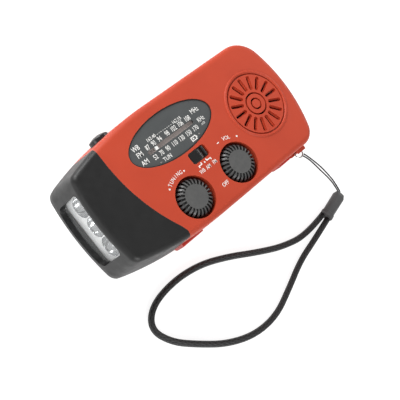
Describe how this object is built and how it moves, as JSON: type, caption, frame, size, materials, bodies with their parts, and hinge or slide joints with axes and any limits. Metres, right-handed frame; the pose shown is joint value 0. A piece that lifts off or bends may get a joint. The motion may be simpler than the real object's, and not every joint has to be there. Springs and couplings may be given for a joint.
{
  "type": "emergency radio",
  "caption": "Hand-crank emergency radio with a torch in the nose, a tuning dial, knobs, a loudspeaker, a solar panel, covered side sockets, and a wrist strap.",
  "frame": {"origin": "middle of the case's footprint, on the surface its back rests on", "axes": "+X towards the loudspeaker end, -X towards the torch, +Y towards the torch button, +Z out of the dial face; the strap lies to the -Y side"},
  "size_m": [0.1454, 0.1269, 0.043],
  "materials": {
    "case_red": "fine matte",
    "cap_charcoal": "fine matte",
    "control_black": "satin",
    "dial_grey": "satin",
    "dial_light": "satin",
    "cover_red": "gloss",
    "clear_plastic": "polished",
    "reflector": "bright",
    "led_white": "gloss",
    "board_green": "satin",
    "steel": "plain",
    "bronze": "plain",
    "nylon": "satin",
    "inner_black": "plain",
    "paper_cone": "plain",
    "magnet": "plain",
    "solar_cell": "gloss",
    "battery_wrap": "satin",
    "copper": "varnished",
    "strap_cord": "braided",
    "strap_sleeve": "matte"
  },
  "bodies": {
    "case": {"front_housing": "case_red", "rear_housing": "case_red", "nose_cap": "cap_charcoal", "torch_lens": "clear_plastic", "torch_reflector": "reflector", "torch_leds": "led_white", "torch_led_board": "board_green", "case_screws": "steel", "dial_plate": "dial_grey", "dial_frame": "inner_black", "dial_cord": "strap_cord", "tuning_capacitor": "nylon", "volume_pot": "steel", "band_switch_body": "inner_black", "torch_switch": "inner_black", "solar_panel": "solar_cell", "solar_window": "clear_plastic", "port_cover_pin": "steel", "jack_cover_pin": "steel", "usb_socket": "steel", "micro_usb_socket": "steel", "headphone_jack": "inner_black", "strap_post": "case_red", "speaker_basket": "steel", "speaker_magnet": "magnet", "speaker_cone": "paper_cone", "main_board": "board_green", "battery_cell": "battery_wrap", "battery_cradle": "inner_black", "ferrite_rod": "magnet", "aerial_coil": "copper", "crank_bush": "bronze", "idler_axle": "steel", "gear_bracket": "steel", "generator": "steel", "strap_loop": "strap_cord", "strap_string_left": "strap_cord", "strap_string_right": "strap_cord", "strap_sleeve": "strap_sleeve", "strap_ring": "steel"},
    "tuning": {"tuning_knob": "control_black", "tuning_shaft": "steel"},
    "pointer": {"dial_pointer": "dial_light"},
    "pulley_left": {"cord_pulley_left": "nylon"},
    "pulley_right": {"cord_pulley_right": "nylon"},
    "volume": {"volume_knob": "control_black", "volume_shaft": "steel"},
    "band_slider": {"band_switch_slider": "control_black"},
    "button": {"torch_button": "control_black"},
    "port_flap": {"port_cover": "cover_red"},
    "jack_flap": {"jack_cover": "cover_red"},
    "crank": {"crank_arm": "control_black", "crank_hinge_pin": "steel", "crank_shaft": "steel", "crank_screw": "steel", "crank_gear": "nylon"},
    "idler": {"idler_gear": "nylon"},
    "rotor": {"generator_pinion": "bronze"},
    "stem": {"grip_stem": "steel"},
    "grip": {"crank_grip": "control_black"}
  },
  "joints": [
    {"name": "tuning_turn", "type": "hinge", "parent": "case", "child": "tuning", "pos_m": [-0.0185, -0.0172, 0.04], "axis": [0, 0, -1], "range_deg": [-25, 151]},
    {"name": "pointer_slide", "type": "slide", "parent": "case", "child": "pointer", "axis": [1, 0, 0], "range_m": [-0.00375, 0.02245]},
    {"name": "pulley_left_spin", "type": "hinge", "parent": "case", "child": "pulley_left", "pos_m": [-0.025, 0.013, 0.0331], "axis": [0, 0, -1], "range_deg": [-107, 643]},
    {"name": "pulley_right_spin", "type": "hinge", "parent": "case", "child": "pulley_right", "pos_m": [0.01477, 0.013, 0.0331], "axis": [0, 0, -1], "range_deg": [-107, 643]},
    {"name": "volume_turn", "type": "hinge", "parent": "case", "child": "volume", "pos_m": [0.0119, -0.0172, 0.04], "axis": [0, 0, -1], "range_deg": [0, 280]},
    {"name": "band_slide", "type": "slide", "parent": "case", "child": "band_slider", "axis": [1, 0, 0], "range_m": [-0.004, 0]},
    {"name": "torch_press", "type": "slide", "parent": "case", "child": "button", "axis": [0, -1, 0], "range_m": [0, 0.001], "stiffness_N_per_m": 1500, "springref_m": -0.0008},
    {"name": "port_cover_hinge", "type": "hinge", "parent": "case", "child": "port_flap", "pos_m": [-0.0246, -0.0309, 0.0177], "axis": [1, 0, 0], "range_deg": [0, 90]},
    {"name": "jack_cover_hinge", "type": "hinge", "parent": "case", "child": "jack_flap", "pos_m": [0.045, -0.0317, 0.0177], "axis": [1, 0, 0], "range_deg": [0, 90]},
    {"name": "crank_turn", "type": "hinge", "parent": "case", "child": "crank", "pos_m": [0.005, 0, 0.01], "axis": [0, 0, 1], "continuous": true},
    {"name": "idler_turn", "type": "hinge", "parent": "case", "child": "idler", "pos_m": [-0.01403, 0.00887, 0.016], "axis": [0, 0, 1], "continuous": true},
    {"name": "rotor_turn", "type": "hinge", "parent": "case", "child": "rotor", "pos_m": [-0.02813, 0.00375, 0.017], "axis": [0, 0, 1], "continuous": true},
    {"name": "grip_fold", "type": "hinge", "parent": "crank", "child": "stem", "pos_m": [0.035, 0, 0.005], "axis": [0, -1, 0], "range_deg": [0, 90]},
    {"name": "grip_spin", "type": "hinge", "parent": "stem", "child": "grip", "pos_m": [0.022, 0, 0.005], "axis": [1, 0, 0], "continuous": true}
  ],
  "couplings": [
    {"joint": "pointer_slide", "follows": "tuning_turn", "m_per_rad": 0.0085},
    {"joint": "pulley_left_spin", "follows": "tuning_turn", "ratio": 4.25},
    {"joint": "pulley_right_spin", "follows": "tuning_turn", "ratio": 4.25},
    {"joint": "idler_turn", "follows": "crank_turn", "ratio": -4},
    {"joint": "rotor_turn", "follows": "crank_turn", "ratio": 16}
  ]
}
